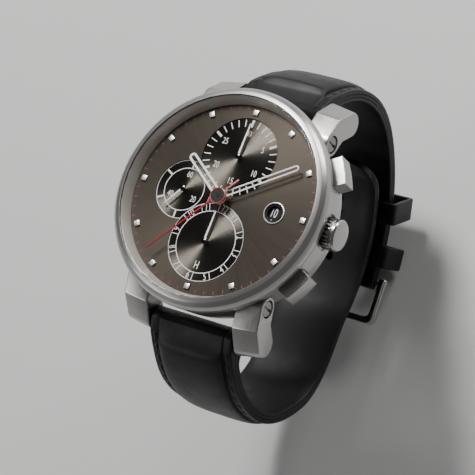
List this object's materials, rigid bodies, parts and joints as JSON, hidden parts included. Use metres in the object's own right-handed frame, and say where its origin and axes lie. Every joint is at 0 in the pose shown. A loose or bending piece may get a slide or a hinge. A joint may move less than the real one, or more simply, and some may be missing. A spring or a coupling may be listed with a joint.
{
  "type": "chronograph wristwatch",
  "caption": "Round steel automatic chronograph wristwatch with recessed counters, a date window, pivoting lugs, push buttons and a padded black leather buckle strap.",
  "frame": {"origin": "middle of the case back's flat outer face, where the watch rests on the wrist", "axes": "+Z out of the dial, +Y towards 12 o'clock, +X towards 3 o'clock and the crown"},
  "size_m": [0.0463, 0.0698, 0.0641],
  "materials": {
    "case_steel": "satin brushed steel",
    "bright_steel": "fine turned steel",
    "plated_brass": "nickel plated, circular grain",
    "wheel_brass": "gilt brass",
    "crystal_glass": "clear, polished",
    "seal_rubber": "matt black",
    "rehaut_silver": "brushed, sloping ring",
    "dial_taupe": "warm grey-brown sunray lacquer over brass",
    "trim_silver": "polished",
    "date_black": "matt black",
    "hand_white": "white lacquer on brushed steel",
    "hand_red": "red lacquer",
    "hairspring_blue": "blued",
    "strap_leather": "smooth black calf, tonal stitching"
  },
  "bodies": {
    "case": {"case_middle": "case_steel", "bezel": "case_steel", "crystal": "crystal_glass", "crystal_gasket": "seal_rubber", "rehaut": "rehaut_silver", "caseback": "case_steel", "caseback_gasket": "seal_rubber", "movement_ring": "plated_brass", "dial": "dial_taupe", "date_window_ring": "trim_silver", "main_plate": "plated_brass", "train_bridge": "plated_brass", "balance_cock": "plated_brass", "crown_tube": "bright_steel", "pusher_tube_start": "bright_steel", "pusher_tube_reset": "bright_steel", "pusher_spring_start": "bright_steel", "pusher_spring_reset": "bright_steel", "lug_screw_12_left": "case_steel", "lug_screw_12_right": "case_steel", "lug_screw_6_left": "case_steel", "lug_screw_6_right": "case_steel"},
    "lugs_12": {"lug_12_left": "case_steel", "lug_12_right": "case_steel", "strap_bar_12": "bright_steel"},
    "lugs_6": {"lug_6_left": "case_steel", "lug_6_right": "case_steel", "strap_bar_6": "bright_steel"},
    "strap_half_12": {"strap_12": "strap_leather", "fixed_keeper": "strap_leather"},
    "strap_half_6": {"strap_6": "strap_leather"},
    "sliding_keeper": {"free_keeper": "strap_leather"},
    "buckle": {"buckle_frame": "case_steel", "buckle_bar": "bright_steel"},
    "tongue": {"buckle_tongue": "case_steel"},
    "stem_carrier": {"setting_yoke": "bright_steel"},
    "crown_and_stem": {"crown": "case_steel", "winding_stem": "bright_steel"},
    "start_pusher": {"pusher_start": "case_steel"},
    "reset_pusher": {"pusher_reset": "case_steel"},
    "minute_hand_set": {"minute_hand": "hand_white", "cannon_pinion": "bright_steel"},
    "hour_hand_set": {"hour_hand": "hand_white", "hour_wheel": "wheel_brass"},
    "minute_wheel_set": {"minute_wheel": "wheel_brass"},
    "seconds_wheel_set": {"fourth_wheel": "wheel_brass", "small_seconds_hand": "hand_white"},
    "third_wheel_set": {"third_wheel": "wheel_brass"},
    "centre_wheel_set": {"centre_wheel": "wheel_brass"},
    "barrel_set": {"barrel": "wheel_brass"},
    "escape_wheel_set": {"escape_wheel": "bright_steel"},
    "pallet": {"pallet_fork": "bright_steel"},
    "balance": {"balance_wheel": "wheel_brass", "hairspring": "hairspring_blue"},
    "chrono_set": {"chrono_seconds_hand": "hand_red", "chrono_wheel": "wheel_brass"},
    "minute_counter_set": {"minute_counter_hand": "hand_white"},
    "hour_counter_set": {"hour_counter_hand": "hand_white"},
    "date_ring": {"date_disc": "date_black"},
    "rotor_set": {"rotor": "bright_steel"}
  },
  "joints": [
    {"name": "lugs_12_tilt", "type": "hinge", "parent": "case", "child": "lugs_12", "pos_m": [0, 0.01657, 0.00516], "axis": [1, 0, 0], "range_deg": [0, 7.2]},
    {"name": "strap_12_swing", "type": "hinge", "parent": "lugs_12", "child": "strap_half_12", "pos_m": [0, 0.0224, 0.0007], "axis": [1, 0, 0], "range_deg": [0, 18]},
    {"name": "lugs_6_tilt", "type": "hinge", "parent": "case", "child": "lugs_6", "pos_m": [0, -0.01657, 0.00516], "axis": [-1, 0, 0], "range_deg": [0, 4.5]},
    {"name": "strap_6_swing", "type": "hinge", "parent": "lugs_6", "child": "strap_half_6", "pos_m": [0, -0.0224, 0.0007], "axis": [-1, 0, 0], "range_deg": [0, 10.8]},
    {"name": "keeper_slide", "type": "slide", "parent": "strap_half_12", "child": "sliding_keeper", "axis": [0, -0.8578, -0.5139], "range_m": [-0.002, 0.002]},
    {"name": "buckle_swing", "type": "hinge", "parent": "strap_half_12", "child": "buckle", "pos_m": [0, 0.00407, -0.04613], "axis": [1, 0, 0], "range_deg": [-15, 40]},
    {"name": "tongue_swing", "type": "hinge", "parent": "buckle", "child": "tongue", "pos_m": [0, 0.00407, -0.04613], "axis": [1, 0, 0], "range_deg": [0, 60]},
    {"name": "crown_pull", "type": "slide", "parent": "case", "child": "stem_carrier", "axis": [1, 0, 0], "range_m": [0, 0.0012]},
    {"name": "crown_turn", "type": "hinge", "parent": "stem_carrier", "child": "crown_and_stem", "pos_m": [0, 0, 0.0061], "axis": [1, 0, 0], "continuous": true},
    {"name": "start_push", "type": "slide", "parent": "case", "child": "start_pusher", "axis": [-0.866, -0.5, 0], "range_m": [0, 0.0009], "stiffness_N_per_m": 1500, "deforming": ["pusher_spring_start"]},
    {"name": "reset_push", "type": "slide", "parent": "case", "child": "reset_pusher", "axis": [-0.866, 0.5, 0], "range_m": [0, 0.0009], "stiffness_N_per_m": 1500, "deforming": ["pusher_spring_reset"]},
    {"name": "minute_hand_turn", "type": "hinge", "parent": "case", "child": "minute_hand_set", "pos_m": [0, 0, 0.0115], "axis": [0, 0, -1], "continuous": true},
    {"name": "hour_hand_turn", "type": "hinge", "parent": "case", "child": "hour_hand_set", "pos_m": [0, 0, 0.011], "axis": [0, 0, -1], "continuous": true},
    {"name": "minute_wheel_turn", "type": "hinge", "parent": "case", "child": "minute_wheel_set", "pos_m": [0.00224, 0.00224, 0.0092], "axis": [0, 0, -1], "continuous": true},
    {"name": "small_seconds_turn", "type": "hinge", "parent": "case", "child": "seconds_wheel_set", "pos_m": [-0.0086, 0, 0.0053], "axis": [0, 0, -1], "continuous": true},
    {"name": "third_wheel_turn", "type": "hinge", "parent": "case", "child": "third_wheel_set", "pos_m": [-0.00489, 0.00178, 0.0059], "axis": [0, 0, -1], "continuous": true},
    {"name": "centre_wheel_turn", "type": "hinge", "parent": "case", "child": "centre_wheel_set", "pos_m": [0, 0, 0.0067], "axis": [0, 0, -1], "continuous": true},
    {"name": "barrel_turn", "type": "hinge", "parent": "case", "child": "barrel_set", "pos_m": [0.00456, -0.00544, 0.0056], "axis": [0, 0, -1], "continuous": true},
    {"name": "escape_wheel_turn", "type": "hinge", "parent": "case", "child": "escape_wheel_set", "pos_m": [-0.01004, 0.00395, 0.007], "axis": [0, 0, -1], "continuous": true},
    {"name": "pallet_swing", "type": "hinge", "parent": "case", "child": "pallet", "pos_m": [-0.00809, 0.00623, 0.0067], "axis": [0, 0, -1], "range_deg": [-5, 5]},
    {"name": "balance_swing", "type": "hinge", "parent": "case", "child": "balance", "pos_m": [-0.0052, 0.0096, 0.006], "axis": [0, 0, -1], "range_deg": [-270, 270], "stiffness_Nm_per_rad": 0.0000004},
    {"name": "chrono_seconds_turn", "type": "hinge", "parent": "case", "child": "chrono_set", "pos_m": [0, 0, 0.012], "axis": [0, 0, -1], "continuous": true},
    {"name": "minute_counter_turn", "type": "hinge", "parent": "case", "child": "minute_counter_set", "pos_m": [0, 0.0086, 0.0105], "axis": [0, 0, -1], "continuous": true},
    {"name": "hour_counter_turn", "type": "hinge", "parent": "case", "child": "hour_counter_set", "pos_m": [0, -0.0086, 0.0105], "axis": [0, 0, -1], "continuous": true},
    {"name": "date_disc_turn", "type": "hinge", "parent": "case", "child": "date_ring", "pos_m": [0, 0, 0.0093], "axis": [0, 0, -1], "continuous": true},
    {"name": "rotor_turn", "type": "hinge", "parent": "case", "child": "rotor_set", "pos_m": [0, 0, 0.0019], "axis": [0, 0, -1], "continuous": true}
  ],
  "couplings": [
    {"joint": "lugs_12_tilt", "follows": "strap_12_swing", "ratio": 0.4},
    {"joint": "strap_6_swing", "follows": "strap_12_swing", "ratio": 0.6},
    {"joint": "lugs_6_tilt", "follows": "strap_12_swing", "ratio": 0.25},
    {"joint": "hour_hand_turn", "follows": "minute_hand_turn", "ratio": 0.083333},
    {"joint": "minute_wheel_turn", "follows": "minute_hand_turn", "ratio": -0.33333},
    {"joint": "third_wheel_turn", "follows": "small_seconds_turn", "ratio": -0.13333},
    {"joint": "centre_wheel_turn", "follows": "small_seconds_turn", "ratio": 0.016667},
    {"joint": "barrel_turn", "follows": "small_seconds_turn", "ratio": -0.0027778},
    {"joint": "escape_wheel_turn", "follows": "small_seconds_turn", "ratio": -6},
    {"joint": "minute_counter_turn", "follows": "chrono_seconds_turn", "ratio": 0.033333},
    {"joint": "hour_counter_turn", "follows": "chrono_seconds_turn", "ratio": 0.0013889}
  ]
}
